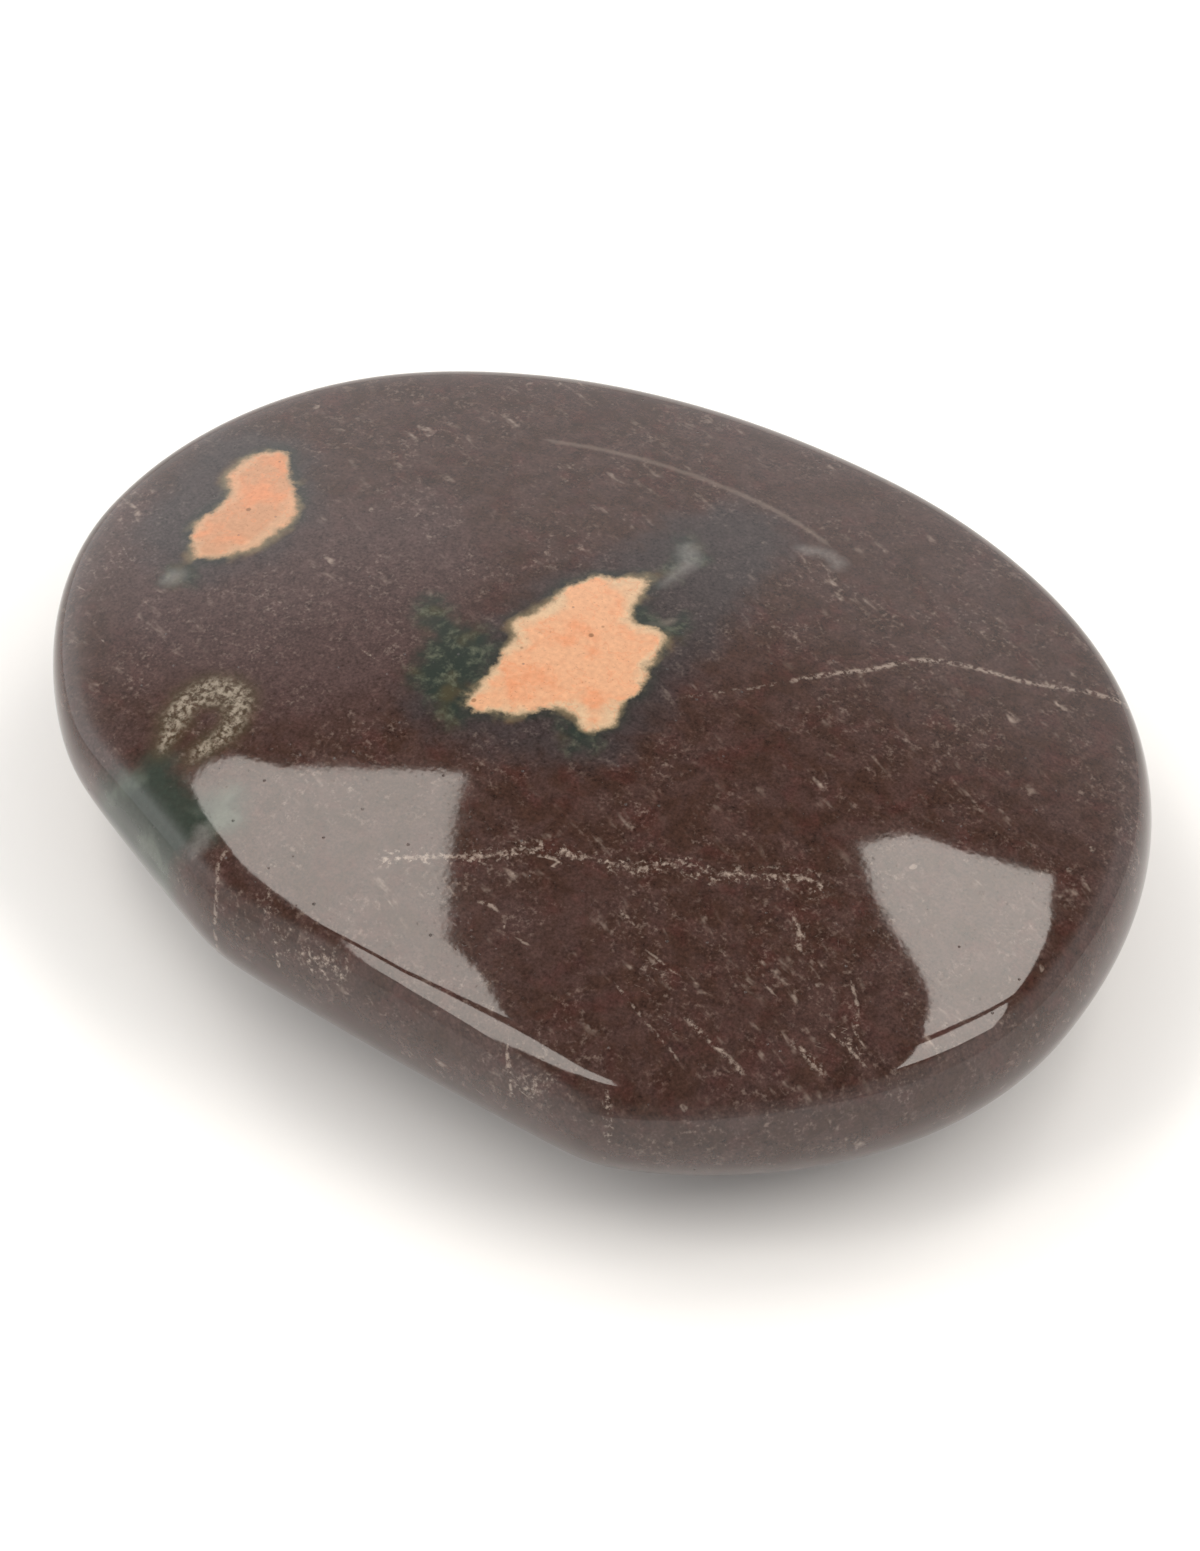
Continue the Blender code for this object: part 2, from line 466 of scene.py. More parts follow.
def smooth_line(points: tuple[Point2, ...], closed: bool) -> np.ndarray:
    """Draw a smooth line through the points of an outline or a vein.

    Args:
        points: The points, in order.
        closed: Whether the line returns to its first point.

    Returns:
        The points of the smooth line, one row each.
    """
    given = np.array(points)
    if closed:
        ring = np.vstack([given[-1:], given, given[:2]])
    else:
        ring = np.vstack([2 * given[:1] - given[1:2], given, 2 * given[-1:] - given[-2:-1]])
    share = np.linspace(0.0, 1.0, LINE_STEPS, endpoint=False)[:, None]
    drawn = []
    for before, start, end, after in zip(ring[:-3], ring[1:-2], ring[2:-1], ring[3:]):
        straight = 2.0 * start + (end - before) * share
        bend = (2.0 * before - 5.0 * start + 4.0 * end - after) * share**2
        twist = (3.0 * start - before - 3.0 * end + after) * share**3
        drawn.append((straight + bend + twist) / 2.0)
    if not closed:
        drawn.append(given[-1:])
    return np.vstack(drawn)


def depth_inside(places: np.ndarray, outline: np.ndarray) -> np.ndarray:
    """Measure how deep points lie inside a closed outline.

    Args:
        places: Points seen from above, one row each.
        outline: The outline's points, one row each.

    Returns:
        Depths, negative outside.
    """
    nearest = np.full(len(places), np.inf)
    inside = np.zeros(len(places), dtype=bool)
    for start, end in zip(outline, np.roll(outline, -1, axis=0)):
        side = end - start
        away = places - start
        share = np.clip(away @ side / (side @ side), 0.0, 1.0)
        nearest = np.minimum(nearest, np.hypot(*(away - share[:, None] * side).T))
        if start[1] != end[1]:
            crosses = (start[1] > places[:, 1]) != (end[1] > places[:, 1])
            inside ^= crosses & (places[:, 0] < start[0] + away[:, 1] * side[0] / side[1])
    return np.where(inside, nearest, -nearest)


class Markings:
    """Measures each point of the stone against its spots and veins, in millimetres."""

    far_away = -50.0

    def __init__(self, spots: tuple[Spot, ...], veins: tuple[Vein, ...]) -> None:
        """Keep the spots and veins to measure against."""
        self.spots = spots
        self.veins = veins

    def depths(self, ground: Ground, places: np.ndarray) -> np.ndarray:
        """Measure how deep points lie inside the spots of one ground.

        Args:
            ground: Which spots count.
            places: Points, one row each.

        Returns:
            Depths, negative outside every such spot.
        """
        deepest = np.full(len(places), self.far_away)
        height = places[:, 2]
        for spot in self.spots:
            if spot.ground is ground:
                depth = depth_inside(places[:, :2], smooth_line(spot.outline, closed=True))
                depth = np.minimum(depth, np.minimum(height - spot.lowest, spot.highest - height))
                deepest = np.maximum(deepest, depth)
        return deepest

    def nearest_vein(self, places: np.ndarray) -> tuple[np.ndarray, np.ndarray, np.ndarray]:
        """Measure points against the vein that runs nearest to each.

        Args:
            places: Points, one row each.

        Returns:
            Rows of side, length since the start and length to the end; rows of width, strength, scatter
            and cloudiness; and the distances.
        """
        course = np.tile([0.0, -1.0, -1.0], (len(places), 1))
        make = np.zeros((len(places), 4))
        nearest = np.full(len(places), -self.far_away)
        for vein in self.veins:
            line = smooth_line(vein.path, closed=False)
            stretches = np.diff(line, axis=0)
            lengths = np.hypot(*stretches.T)
            limits = np.maximum(vein.lowest - places[:, 2], places[:, 2] - vein.highest)
            for index, (start, stretch, length) in enumerate(zip(line[:-1], stretches, lengths)):
                away = places[:, :2] - start
                share = away @ stretch / length**2
                held = np.clip(share, 0.0, 1.0)
                distance = np.maximum(np.hypot(*(away - held[:, None] * stretch).T), limits)
                opening = -np.inf if index == 0 else 0.0
                closing = np.inf if index == len(lengths) - 1 else 1.0
                since = lengths[:index].sum() + np.clip(share, opening, closing) * length
                side = (stretch[0] * away[:, 1] - stretch[1] * away[:, 0]) / length
                closer = distance < nearest
                rows = np.stack([side, since, lengths.sum() - since], axis=1)
                course[closer] = rows[closer]
                make[closer] = (vein.width, vein.strength, vein.scatter, vein.cloudy)
                nearest[closer] = distance[closer]
        return course, make, nearest


class Value:
    """A number that varies over a surface; Python's operators add Math nodes to it."""

    def __init__(self, bench: "Bench", socket: bpy.types.NodeSocket) -> None:
        """Wrap one output socket."""
        self.bench = bench
        self.socket = socket

    def math(self, operation: str, *others: "Value | float") -> "Value":
        """Apply a Math node with this value first."""
        return self.bench.math(operation, self, *others)

    def __add__(self, other: "Value | float") -> "Value":
        """Add."""
        return self.math("ADD", other)

    def __radd__(self, other: float) -> "Value":
        """Add, reflected."""
        return self.bench.math("ADD", other, self)

    def __sub__(self, other: "Value | float") -> "Value":
        """Subtract."""
        return self.math("SUBTRACT", other)

    def __rsub__(self, other: float) -> "Value":
        """Subtract, reflected."""
        return self.bench.math("SUBTRACT", other, self)

    def __mul__(self, other: "Value | float") -> "Value":
        """Multiply."""
        return self.math("MULTIPLY", other)

    def __rmul__(self, other: float) -> "Value":
        """Multiply, reflected."""
        return self.bench.math("MULTIPLY", other, self)

    def __truediv__(self, other: "Value | float") -> "Value":
        """Divide."""
        return self.math("DIVIDE", other)

    def __abs__(self) -> "Value":
        """Drop the sign."""
        return self.math("ABSOLUTE")

    def least(self, other: "Value | float") -> "Value":
        """Take the smaller of two values."""
        return self.math("MINIMUM", other)

    def greatest(self, other: "Value | float") -> "Value":
        """Take the greater of two values."""
        return self.math("MAXIMUM", other)

    def ramp(self, start: "Value | float", end: "Value | float") -> "Value":
        """Rise smoothly from 0 at start to 1 at end, or fall where end is the smaller."""
        settings = {"interpolation_type": "SMOOTHSTEP"}
        sockets = {"Value": self, "From Min": start, "From Max": end}
        return self.bench.add("ShaderNodeMapRange", settings, sockets, "Result")


Sheet = bpy.types.NodeSocket
Input = Value | bpy.types.NodeSocket | float | tuple[float, ...]


@dataclass(frozen=True)
class Clouds:
    """The make of a cloudy noise."""

    size: float
    detail: float = 2.0
    roughness: float = 0.5


@dataclass(frozen=True)
class Dots:
    """The make of scattered dots."""

    spacing: float
    radius: float
    share: float


class Bench:
    """Adds and joins the nodes of one material."""

    def __init__(self, tree: bpy.types.NodeTree) -> None:
        """Start on a node tree."""
        self.tree = tree

    def node(
        self, kind: str, settings: dict[str, object], sockets: dict[str | int, Input]
    ) -> bpy.types.Node:
        """Add a node.

        Args:
            kind: The node's type.
            settings: Its settings, which are made first.
            sockets: The value or link of each input that isn't left alone.

        Returns:
            The new node.
        """
        made = self.tree.nodes.new(kind)
        for name, setting in settings.items():
            setattr(made, name, setting)
        for name, given in sockets.items():
            self.feed(made.inputs[name], given)
        return made

    def feed(self, socket: bpy.types.NodeSocket, given: Input) -> None:
        """Link or set one input socket.

        Args:
            socket: The input.
            given: What to link to it, or the number, vector or colour to set.
        """
        if isinstance(given, Value):
            self.tree.links.new(given.socket, socket)
        elif isinstance(given, bpy.types.NodeSocket):
            self.tree.links.new(given, socket)
        elif isinstance(given, tuple) and socket.type == "RGBA":
            socket.default_value = (*given, 1.0)
        else:
            socket.default_value = given

    def add(
        self,
        kind: str,
        settings: dict[str, object],
        sockets: dict[str | int, Input],
        output: str | int = 0,
    ) -> Value:
        """Add a node and return one of its outputs as a value."""
        return Value(self, self.node(kind, settings, sockets).outputs[output])

    def math(self, operation: str, *given: Value | float) -> Value:
        """Add a Math node."""
        return self.add("ShaderNodeMath", {"operation": operation}, dict(enumerate(given)))

    def vector(self, operation: str, *given: Input) -> Sheet:
        """Add a Vector Math node."""
        made = self.node("ShaderNodeVectorMath", {"operation": operation}, dict(enumerate(given)))
        return made.outputs[0]

    def scale(self, vector: Sheet, factor: Value | float) -> Sheet:
        """Make a vector or a colour longer or shorter."""
        sockets = {"Vector": vector, "Scale": factor}
        return self.node("ShaderNodeVectorMath", {"operation": "SCALE"}, sockets).outputs[0]

    def mix(self, factor: Value | float, under: Input, over: Input) -> Sheet:
        """Lay one colour over another."""
        made = self.node("ShaderNodeMix", {"data_type": "RGBA"}, {0: factor, 6: under, 7: over})
        return made.outputs[2]

    def noise(self, place: Sheet, clouds: Clouds) -> Value:
        """Add clouds, from 0 to 1.

        Args:
            place: Where the surface is, in millimetres.
            clouds: Their make.

        Returns:
            Values around 0.5.
        """
        sockets = {
            "Vector": place,
            "Scale": 1.0 / clouds.size,
            "Detail": clouds.detail,
            "Roughness": clouds.roughness,
        }
        return self.add("ShaderNodeTexNoise", {}, sockets, "Fac")

    def drift(self, place: Sheet, size: float, reach: float) -> Sheet:
        """Push places about by noise, so that shapes drawn on them turn uneven.

        Args:
            place: Where the surface is, in millimetres.
            size: Size of the noise's clouds.
            reach: How far the places are pushed.

        Returns:
            The pushed places.
        """
        sockets = {"Vector": place, "Scale": 1.0 / size, "Detail": 1.0}
        push = self.node("ShaderNodeTexNoise", {}, sockets).outputs["Color"]
        centred = self.vector("SUBTRACT", push, (0.5, 0.5, 0.5))
        return self.vector("ADD", place, self.scale(centred, 2.0 * reach))

    def scatter(self, place: Sheet, dots: Dots) -> Value:
        """Scatter dots.

        Args:
            place: Where the surface is, in millimetres.
            dots: Their make.

        Returns:
            1 in a dot and 0 between them.
        """
        cells = self.node("ShaderNodeTexVoronoi", {}, {"Vector": place, "Scale": 1.0 / dots.spacing})
        distance = Value(self, cells.outputs["Distance"])
        chance = self.add("ShaderNodeSeparateColor", {}, {"Color": cells.outputs["Color"]}, "Red")
        reach = dots.radius / dots.spacing
        share = dots.share
        return distance.ramp(reach, 0.55 * reach) * chance.ramp(1.0 - share, 1.0 - 0.9 * share)

    def stored(self, name: str) -> bpy.types.Node:
        """Read what the mesh stores under a name."""
        settings = {"attribute_type": "GEOMETRY", "attribute_name": name}
        return self.node("ShaderNodeAttribute", settings, {})

    def depth(self, ground: Ground) -> Value:
        """Read how deep the surface lies in one ground."""
        return Value(self, self.stored(ground.value).outputs["Fac"])

    def parts(self, vector: Sheet) -> tuple[Value, Value, Value]:
        """Split a vector into its three numbers."""
        made = self.node("ShaderNodeSeparateXYZ", {}, {"Vector": vector})
        return tuple(Value(self, output) for output in made.outputs)


@dataclass(frozen=True)
class Grain:
    """The stone's own unevenness, which all its minerals share."""

    place: Sheet
    uneven: Sheet
    layers: Sheet
    broad: Value
    ragged: Value
    fine: Value

    def tear(self, depth: Value, reach: float) -> Value:
        """Tear the border of a marking, by up to half the reach either way."""
        return depth + reach * (self.ragged - 0.5)


@dataclass(frozen=True)
class PolishedStone:
    """The finish of the stone: its minerals' colours, painted shade in its pits and its polish."""

    plum: Colour = (0.056, 0.030, 0.025)
    brown: Colour = (0.043, 0.021, 0.015)
    maroon: Colour = (0.066, 0.018, 0.016)
    mauve: Colour = (0.072, 0.046, 0.044)
    slate: Colour = (0.041, 0.034, 0.035)
    pale: Colour = (0.328, 0.262, 0.221)
    salmon: Colour = (0.623, 0.344, 0.205)
    deep_salmon: Colour = (0.476, 0.254, 0.148)
    orange: Colour = (0.623, 0.246, 0.123)
    cream: Colour = (0.541, 0.410, 0.271)
    tan: Colour = (0.189, 0.152, 0.094)
    rust: Colour = (0.098, 0.045, 0.018)
    moss: Colour = (0.021, 0.031, 0.025)
    lichen: Colour = (0.123, 0.135, 0.094)
    jade: Colour = (0.030, 0.044, 0.035)
    light_jade: Colour = (0.070, 0.090, 0.072)
    olive: Colour = (0.070, 0.057, 0.028)
    ghost: Colour = (0.221, 0.205, 0.197)
    bone: Colour = (0.377, 0.328, 0.262)
    # Painted shade: the dark colour laid into the pits and pinholes
    pinhole_shade: Colour = (0.016, 0.010, 0.007)
    refraction: float = 1.54
    roughness: float = 0.05
    pit_depth: float = 0.000012
    foliation: float = 20.0
    layering: tuple[float, float, float] = (0.24, 1.0, 0.55)
    wander: Point2 = (3.0, 0.7)
    layer_wander: Point2 = (9.0, 1.3)
    spark_wander: Point2 = (0.5, 0.22)
    broad: Clouds = Clouds(2.4)
    ragged: Clouds = Clouds(1.1, 4.0, 0.70)
    fine: Clouds = Clouds(0.34, 3.0, 0.66)
    blotches: Clouds = Clouds(1.7, 3.0, 0.62)
    weather: Clouds = Clouds(15.0)
    reddening: Clouds = Clouds(1.9, 2.0, 0.6)
    powder: Clouds = Clouds(0.20, 1.0, 0.7)
    mottle: Clouds = Clouds(0.8, 2.0, 0.6)
    crowd: Clouds = Clouds(3.6, 3.0, 0.62)
    herd: Clouds = Clouds(6.0, 1.0)
    flour: Clouds = Clouds(0.40, 3.0, 0.66)
    dashes: Clouds = Clouds(0.66, 2.0, 0.55)
    tufts: Clouds = Clouds(0.9, 3.0, 0.74)
    swelling: Clouds = Clouds(0.7)
    bloom: Clouds = Clouds(2.3, 3.0, 0.6)
    cracking: Clouds = Clouds(2.8, 3.0, 0.65)
    pinholes: Clouds = Clouds(0.16, 2.0, 0.6)
    waviness: Clouds = Clouds(0.5, 1.0, 0.6)
    pits: Dots = Dots(0.9, 0.10, 0.22)
    sparks: Dots = Dots(2.3, 0.26, 0.16)
    specks: Dots = Dots(1.4, 0.20, 0.22)

    def dress(self, piece: bpy.types.Object) -> None:
        """Give a piece this finish.

        Args:
            piece: The stone.
        """
        material = bpy.data.materials.new("polished_stone")
        material.use_nodes = True
        bench = Bench(material.node_tree)
        shader = material.node_tree.nodes["Principled BSDF"]
        shader.inputs["IOR"].default_value = self.refraction
        coordinates = bench.node("ShaderNodeTexCoord", {}, {}).outputs["Object"]
        place = bench.scale(coordinates, 1.0 / MILLIMETRE)
        grain = Grain(
            place=place,
            uneven=bench.drift(place, *self.wander),
            layers=self.layered_along(bench, place),
            broad=bench.noise(place, self.broad),
            ragged=bench.noise(place, self.ragged),
            fine=bench.noise(place, self.fine),
        )
        colour = self.ground_colour(bench, grain)
        colour = self.add_moss(bench, grain, colour)
        colour = self.add_speckled(bench, grain, colour)
        colour = self.add_veins(bench, grain, colour)
        colour = self.add_salmon(bench, grain, colour)
        pits = bench.scatter(place, self.pits)
        pinholes = pits.greatest(0.8 * bench.noise(place, self.pinholes).ramp(0.38, 0.24))
        # Painted shade: the colour is darkened in the pits and pinholes; their extra roughness and the
        # dents in the bump below are real
        colour = bench.mix(pinholes * 0.5, colour, self.pinhole_shade)
        roughness = self.roughness * (0.75 + 0.5 * grain.broad) + 0.30 * pinholes
        height = 0.10 * bench.noise(place, self.waviness) - pits
        sockets = {"Strength": 1.0, "Distance": self.pit_depth, "Height": height}
        bump = bench.node("ShaderNodeBump", {}, sockets)
        bench.feed(shader.inputs["Base Color"], colour)
        bench.feed(shader.inputs["Roughness"], roughness)
        bench.feed(shader.inputs["Normal"], bump.outputs["Normal"])
        piece.data.materials.append(material)

    def layered_along(self, bench: Bench, place: Sheet) -> Sheet:
        """Stretch places along the stone's layering, so that patterns on them turn to dashes.

        Args:
            bench: The material's nodes.
            place: Where the surface is, in millimetres.

        Returns:
            The stretched places.
        """
        eased = bench.drift(place, *self.layer_wander)
        sockets = {"Vector": eased, "Angle": math.radians(self.foliation)}
        turned = bench.node("ShaderNodeVectorRotate", {"rotation_type": "Z_AXIS"}, sockets)
        return bench.vector("MULTIPLY", turned.outputs[0], self.layering)

    def ground_colour(self, bench: Bench, grain: Grain) -> Sheet:
        """Mix the plum-brown rock between the markings.

        Args:
            bench: The material's nodes.
            grain: The stone's unevenness.

        Returns:
            The rock's colour.
        """
        blotches = bench.noise(grain.uneven, self.blotches)
        clouds = bench.noise(grain.place, self.weather)
        colour = bench.mix(blotches.ramp(0.38, 0.62), self.brown, self.plum)
        reddened = bench.noise(grain.uneven, self.reddening).ramp(0.50, 0.70)
        colour = bench.mix(reddened * 0.3, colour, self.maroon)
        mauve = bench.depth(Ground.MAUVE)
        mauve = (mauve + 9.0 * (clouds - 0.5)).ramp(-2.5, 4.0)
        colour = bench.mix((clouds.ramp(0.50, 0.74) * 0.3).greatest(mauve * 0.8), colour, self.mauve)
        slate = bench.depth(Ground.SLATE)
        slate = (slate + 3.0 * (blotches - 0.5)).ramp(-1.2, 1.8)
        colour = bench.mix(slate * 0.8, colour, self.slate)
        powder = bench.noise(grain.place, self.powder)
        mottle = bench.noise(grain.uneven, self.mottle)
        colour = bench.scale(colour, (1.30 * powder + 0.9 * mottle - 0.10).greatest(0.35))
        crowd = bench.noise(grain.uneven, self.crowd)
        herd = bench.noise(grain.place, self.herd).ramp(0.44, 0.64)
        flour = bench.noise(grain.place, self.flour).ramp(0.52, 0.80) * crowd.ramp(0.40, 0.62)
        dashes = bench.noise(grain.layers, self.dashes).ramp(0.56, 0.80) * mottle.ramp(0.42, 0.66)
        sparks = bench.scatter(bench.drift(grain.place, *self.spark_wander), self.sparks)
        sparks = sparks * grain.fine.ramp(0.3, 0.6)
        pale = 0.40 * flour + dashes * (0.25 + 0.65 * herd) * crowd.ramp(0.34, 0.56) + 0.45 * sparks
        return bench.mix(pale.least(0.7) * (1.0 - 0.55 * slate), colour, self.pale)

    def add_moss(self, bench: Bench, grain: Grain, colour: Sheet) -> Sheet:
        """Lay the green patches and the ghostly pale ones over the rock.

        Args:
            bench: The material's nodes.
            grain: The stone's unevenness.
            colour: The rock's colour so far.

        Returns:
            The colour with the patches.
        """
        depth = grain.tear(bench.depth(Ground.MOSS), 2.4)
        tufts = bench.noise(grain.uneven, self.tufts)
        green = bench.mix(grain.broad.ramp(0.50, 0.68) * 0.7, self.moss, self.olive)
        green = bench.mix(tufts.ramp(0.46, 0.76) * 0.9, green, self.lichen)
        colour = bench.mix(depth.ramp(-1.0, 0.8) * 0.88, colour, green)
        depth = grain.tear(bench.depth(Ground.JADE), 1.6)
        jade = bench.mix(grain.broad.ramp(0.46, 0.70), self.jade, self.light_jade)
        jade = bench.scale(jade, 0.6 + 0.8 * grain.fine)
        colour = bench.mix(depth.ramp(-1.0, 1.0) * 0.85, colour, jade)
        depth = grain.tear(bench.depth(Ground.GHOST), 0.9).ramp(-0.35, 0.65)
        return bench.mix(depth * (0.15 + 0.6 * grain.fine), colour, self.ghost)

    def add_speckled(self, bench: Bench, grain: Grain, colour: Sheet) -> Sheet:
        """Lay the bone-coloured speckled arch over the rock.

        Args:
            bench: The material's nodes.
            grain: The stone's unevenness.
            colour: The rock's colour so far.

        Returns:
            The colour with the arch.
        """
        depth = grain.tear(bench.depth(Ground.SPECKLED), 0.9)
        colour = bench.mix(depth.ramp(-1.1, 0.1) * 0.4, colour, self.olive)
        crumbs = depth.ramp(-0.35, 0.45) * grain.fine.ramp(0.38, 0.66) * 0.68
        return bench.mix(crumbs, colour, self.bone)

    def add_veins(self, bench: Bench, grain: Grain, colour: Sheet) -> Sheet:
        """Draw the pale veins and the crumbs that are scattered beside some of them.

        Args:
            bench: The material's nodes.
            grain: The stone's unevenness.
            colour: The rock's colour so far.

        Returns:
            The colour with the veins.
        """
        side, since, left = bench.parts(bench.stored("vein_course").outputs["Vector"])
        made = bench.stored("vein_make")
        width, strength, scatter = bench.parts(made.outputs["Vector"])
        cloudy = Value(bench, made.outputs["Alpha"])
        distance = Value(bench, bench.stored("vein_distance").outputs["Fac"])
        off = abs(grain.tear(side, 0.22))
        ends = since.ramp(-0.1, 0.9) * left.ramp(-0.1, 0.9)
        thickness = width * (0.3 + 1.3 * bench.noise(grain.place, self.swelling)) * ends.greatest(0.05)
        unbroken = (grain.fine + 0.30 * (strength - 0.5)).ramp(0.47, 0.62).greatest(cloudy)
        core = off.ramp(thickness, thickness * 0.1) * unbroken * strength
        loose = grain.fine.ramp(0.54, 0.68) * off.ramp(scatter, 0.0) * scatter.ramp(0.0, 0.3)
        near = distance.ramp(1.0, 0.6) * ends
        return bench.mix((core.greatest(loose) * near).least(0.92), colour, self.pale)

    def add_salmon(self, bench: Bench, grain: Grain, colour: Sheet) -> Sheet:
        """Lay the salmon spots with their cream rims and dull borders over the rock.

        Args:
            bench: The material's nodes.
            grain: The stone's unevenness.
            colour: The rock's colour so far.

        Returns:
            The colour with the spots.
        """
        depth = grain.tear(bench.depth(Ground.SALMON), 1.3)
        earthy = bench.mix(grain.broad.ramp(0.50, 0.66), self.moss, self.rust)
        colour = bench.mix(depth.ramp(-1.1, -0.2) * 0.5, colour, earthy)
        border = -0.20 - 0.7 * grain.broad.ramp(0.36, 0.64)
        colour = bench.mix(depth.ramp(border, 0.10) * 0.85, colour, self.tan)
        blush = bench.noise(grain.uneven, self.bloom)
        # The left salmon spot is made darker: a darker salmon is mixed in over it
        deep = bench.depth(Ground.DARKER_SALMON).ramp(-0.5, 0.5)
        flesh = bench.mix(deep, self.salmon, self.deep_salmon)
        flesh = bench.mix(blush.ramp(0.44, 0.70) * 0.7, flesh, self.orange)
        rim_width = (6.0 * grain.broad - 2.2).greatest(0.12)
        flesh = bench.mix((depth / rim_width).ramp(1.0, 0.1) * (0.8 - 0.45 * deep), flesh, self.cream)
        cracks = abs(bench.noise(grain.place, self.cracking) - 0.5).ramp(0.014, 0.0)
        flesh = bench.mix(cracks * 0.4, flesh, self.orange)
        flesh = bench.scale(flesh, 0.72 + 0.5 * grain.fine)
        specks = bench.scatter(grain.place, self.specks)
        flesh = bench.mix(specks * 0.6, flesh, self.rust)
        return bench.mix(depth.ramp(-0.24, 0.30), colour, flesh)


class PalmStone:
    """The stone itself: a fine mesh of its form, with its markings measured on it."""

    cuts = 119
    proportions = np.array([1.0, 0.76, 0.26])
    middle = np.array([0.0, 0.0, 0.0080])
    longest_reach = 0.060
    halvings = 36
    crowding = 0.15

    def __init__(
        self, form: Form, polish: HandPolish, markings: Markings, finish: PolishedStone
    ) -> None:
        """Keep what the stone is made from.

        Args:
            form: The faces it is ground to.
            polish: The waviness of those faces.
            markings: Its spots and veins.
            finish: Its material.
        """
        self.form = form
        self.polish = polish
        self.markings = markings
        self.finish = finish

    def build(self) -> bpy.types.Object:
        """Build and dress the stone.

        Returns:
            The finished piece, in place of the frame's solid.
        """
        mesh = self.ball()
        spread = self.vertex_places(mesh)
        spread += self.crowding * np.sin(spread * math.pi)
        directions = self.unit(np.tan(spread * math.pi / 4.0))
        directions = self.unit(directions * self.proportions)
        places = self.fit_box(self.surface(directions))
        mesh.vertices.foreach_set("co", places.astype(np.float32).ravel())
        mesh.shade_smooth()
        mesh.update()
        self.store_markings(mesh, places / MILLIMETRE)
        stone = bpy.data.objects.new("stone", mesh)
        bpy.context.scene.collection.objects.link(stone)
        self.finish.dress(stone)
        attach(stone, "root")
        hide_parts(STONE_NODE)
        log.info("%s: %d faces", stone.name, len(mesh.polygons))
        return stone

    def ball(self) -> bpy.types.Mesh:
        """Cut a cube into a fine grid, ready to be pushed out to the stone's surface.

        Returns:
            The cube's mesh.
        """
        grid = bmesh.new()
        bmesh.ops.create_cube(grid, size=2.0)
        bmesh.ops.subdivide_edges(grid, edges=grid.edges[:], cuts=self.cuts, use_grid_fill=True)
        bmesh.ops.recalc_face_normals(grid, faces=grid.faces[:])
        mesh = bpy.data.meshes.new("stone")
        grid.to_mesh(mesh)
        grid.free()
        return mesh

    @staticmethod
    def vertex_places(mesh: bpy.types.Mesh) -> np.ndarray:
        """Read a mesh's vertices.

        Args:
            mesh: The mesh.

        Returns:
            Their places, one row each.
        """
        flat = np.empty(len(mesh.vertices) * 3, np.float32)
        mesh.vertices.foreach_get("co", flat)
        return flat.reshape(-1, 3).astype(float)

    @staticmethod
    def unit(directions: np.ndarray) -> np.ndarray:
        """Make each row one long."""
        return directions / np.linalg.norm(directions, axis=1)[:, None]

    def surface(self, directions: np.ndarray) -> np.ndarray:
        """Find where rays from the middle of the stone leave it.

        Args:
            directions: Unit directions, one row each.

        Returns:
            The points of the surface, one row each.
        """
        near = np.zeros(len(directions))
        far = np.full(len(directions), self.longest_reach)
        for _ in range(self.halvings):
            halfway = (near + far) / 2.0
            places = self.middle + directions * halfway[:, None]
            beyond = self.form.outside(places) + self.polish.sink(places) > 0.0
            far = np.where(beyond, halfway, far)
            near = np.where(beyond, near, halfway)
        places = self.middle + directions * near[:, None]
        places[:, 2] = np.maximum(places[:, 2], 0.0)
        return places

    def fit_box(self, places: np.ndarray) -> np.ndarray:
        """Lay the surface exactly into the box of the frame's solid.

        Args:
            places: The points of the surface, one row each.

        Returns:
            The fitted points.
        """
        low, high = (np.array(corner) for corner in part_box(STONE_NODE))
        lowest, highest = places.min(axis=0), places.max(axis=0)
        return low + (places - lowest) / (highest - lowest) * (high - low)

    def store_markings(self, mesh: bpy.types.Mesh, places: np.ndarray) -> None:
        """Store what the material needs to know about the markings at each vertex.

        Args:
            mesh: The stone's mesh.
            places: Its vertices in millimetres, one row each.
        """
        for ground in Ground:
            depths = mesh.attributes.new(ground.value, "FLOAT", "POINT")
            depths.data.foreach_set("value", self.markings.depths(ground, places).astype(np.float32))
        course, make, distance = self.markings.nearest_vein(places)
        stored = mesh.attributes.new("vein_course", "FLOAT_VECTOR", "POINT")
        stored.data.foreach_set("vector", course.astype(np.float32).ravel())
        stored = mesh.attributes.new("vein_make", "FLOAT_COLOR", "POINT")
        stored.data.foreach_set("color", make.astype(np.float32).ravel())
        stored = mesh.attributes.new("vein_distance", "FLOAT", "POINT")
        stored.data.foreach_set("value", distance.astype(np.float32))


